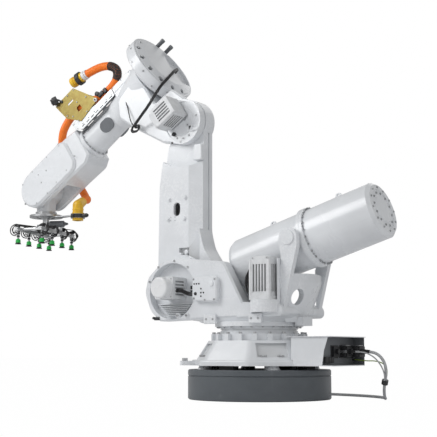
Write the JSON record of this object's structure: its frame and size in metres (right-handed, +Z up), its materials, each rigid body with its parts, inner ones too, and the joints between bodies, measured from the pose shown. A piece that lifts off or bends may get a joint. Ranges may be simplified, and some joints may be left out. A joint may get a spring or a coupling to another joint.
{
  "type": "articulated robot",
  "caption": "Six-axis industrial robot arm on a round stand, with a spring balancer, a corrugated hose package along the forearm and a suction gripper on the wrist.",
  "frame": {"origin": "centre of the stand's underside, on the floor and on the first (turning) axis", "axes": "+X forward, towards the tool at rest; +Y to the robot's left, the motor side; +Z up along the first axis"},
  "size_m": [3.7061, 1.434, 3.0837],
  "materials": {
    "white_paint": "semi-gloss powder coat",
    "slate_paint": "matt paint with wear",
    "motor_paint": "satin paint",
    "zinc_steel": "zinc-plated satin",
    "zinc_sheet": "zinc-coated sheet",
    "bright_steel": "ground bar",
    "gold_plate": "yellow chromate",
    "aluminium": "satin anodised",
    "white_plastic": "semi-gloss",
    "black_plastic": "matt",
    "grey_plastic": "matt",
    "yellow_plastic": "semi-gloss",
    "orange_hose": "corrugated, satin",
    "grey_hose": "matt sheath",
    "grey_cable": "matt sheath",
    "green_wire": "matt sheath",
    "black_cable": "matt sheath",
    "black_rubber": "matt",
    "green_rubber": "satin"
  },
  "bodies": {
    "base": {"pedestal": "slate_paint", "levelling_pads": "white_paint", "packing_blocks": "black_rubber", "base_casting": "white_paint", "base_bolts": "zinc_steel", "axis1_reducer": "white_paint", "cable_box": "white_paint", "connector_panel": "zinc_steel", "panel_connectors": "black_plastic", "supply_hose": "grey_hose", "supply_coil": "grey_hose", "supply_plug": "black_plastic", "signal_cable": "grey_cable", "earth_wire": "green_wire"},
    "turret": {"frame_casting": "white_paint", "frame_bolts": "zinc_steel", "stop_blocks": "white_paint", "frame_covers": "white_paint", "axis1_motor": "motor_paint", "axis2_motor": "motor_paint", "axis2_motor_cap": "white_plastic", "axis2_reducer": "white_paint", "motor_cables": "black_cable"},
    "lower_arm": {"lower_arm_casting": "white_paint", "balancer_pin": "bright_steel", "arm_fittings": "white_paint"},
    "balancer_cylinder": {"balancer_housing": "white_paint", "balancer_tube": "white_paint", "balancer_cover": "white_paint", "balancer_bolts": "zinc_steel"},
    "balancer_rod": {"balancer_rod": "bright_steel"},
    "upper_arm": {"upper_arm_casting": "white_paint", "axis3_cap": "white_paint", "axis3_motor": "motor_paint", "axis4_drum": "white_paint", "drum_fittings": "grey_plastic", "slide_box": "white_paint", "harness_cables": "black_cable", "hose_tray": "zinc_sheet", "hose_bracket": "gold_plate", "hose_clamps": "black_plastic", "clamp_rings": "yellow_plastic", "hose_loop": "orange_hose", "hose_upper": "orange_hose"},
    "forearm": {"forearm_tube": "white_paint", "forearm_pads": "grey_plastic", "wrist_housing": "white_paint", "wrist_covers": "white_paint", "wrist_bolts": "zinc_steel", "hose_lower": "orange_hose"},
    "wrist_tilt": {"wrist_head": "white_paint", "turning_disc": "zinc_steel", "swivel_arm": "zinc_steel", "swivel_elbow": "yellow_plastic"},
    "tool": {"gripper_frame": "aluminium", "cup_holders": "zinc_steel", "suction_cups": "green_rubber", "cup_lips": "black_rubber", "vacuum_unit": "grey_plastic", "gripper_tubes": "black_cable"}
  },
  "joints": [
    {"name": "axis1_turn", "type": "hinge", "parent": "base", "child": "turret", "pos_m": [0, 0, 0.548], "axis": [0, 0, 1], "range_deg": [-165, 165]},
    {"name": "axis2_swing", "type": "hinge", "parent": "turret", "child": "lower_arm", "pos_m": [0.6, 0, 0.885], "axis": [0, 1, 0], "range_deg": [-20, 30]},
    {"name": "balancer_tilt", "type": "hinge", "parent": "turret", "child": "balancer_cylinder", "pos_m": [-0.4287, 0, 1.19362], "axis": [0, 1, 0], "range_deg": [-15, 15]},
    {"name": "rod_eye", "type": "hinge", "parent": "lower_arm", "child": "balancer_rod", "pos_m": [0.37012, 0, 0.95397], "axis": [0, 1, 0], "range_deg": [-41, 41]},
    {"name": "axis3_swing", "type": "hinge", "parent": "lower_arm", "child": "upper_arm", "pos_m": [0.6, 0, 2.217], "axis": [0, 1, 0], "range_deg": [-32, 14]},
    {"name": "axis4_turn", "type": "hinge", "parent": "upper_arm", "child": "forearm", "pos_m": [0.95201, 0, 2.73888], "axis": [0.829, 0, -0.5592], "range_deg": [-60, 60], "deforming": ["hose_upper"]},
    {"name": "axis5_tilt", "type": "hinge", "parent": "forearm", "child": "wrist_tilt", "pos_m": [2.30832, 0, 1.82404], "axis": [0, 1, 0], "range_deg": [-35, 15], "deforming": ["hose_lower"]},
    {"name": "axis6_turn", "type": "hinge", "parent": "wrist_tilt", "child": "tool", "pos_m": [2.30832, 0, 1.628], "axis": [0, 0, 1], "range_deg": [-180, 180]}
  ],
  "couplings": [
    {"joint": "balancer_tilt", "follows": "axis2_swing", "ratio": -0.269},
    {"joint": "rod_eye", "follows": "axis2_swing", "ratio": -1.269}
  ]
}
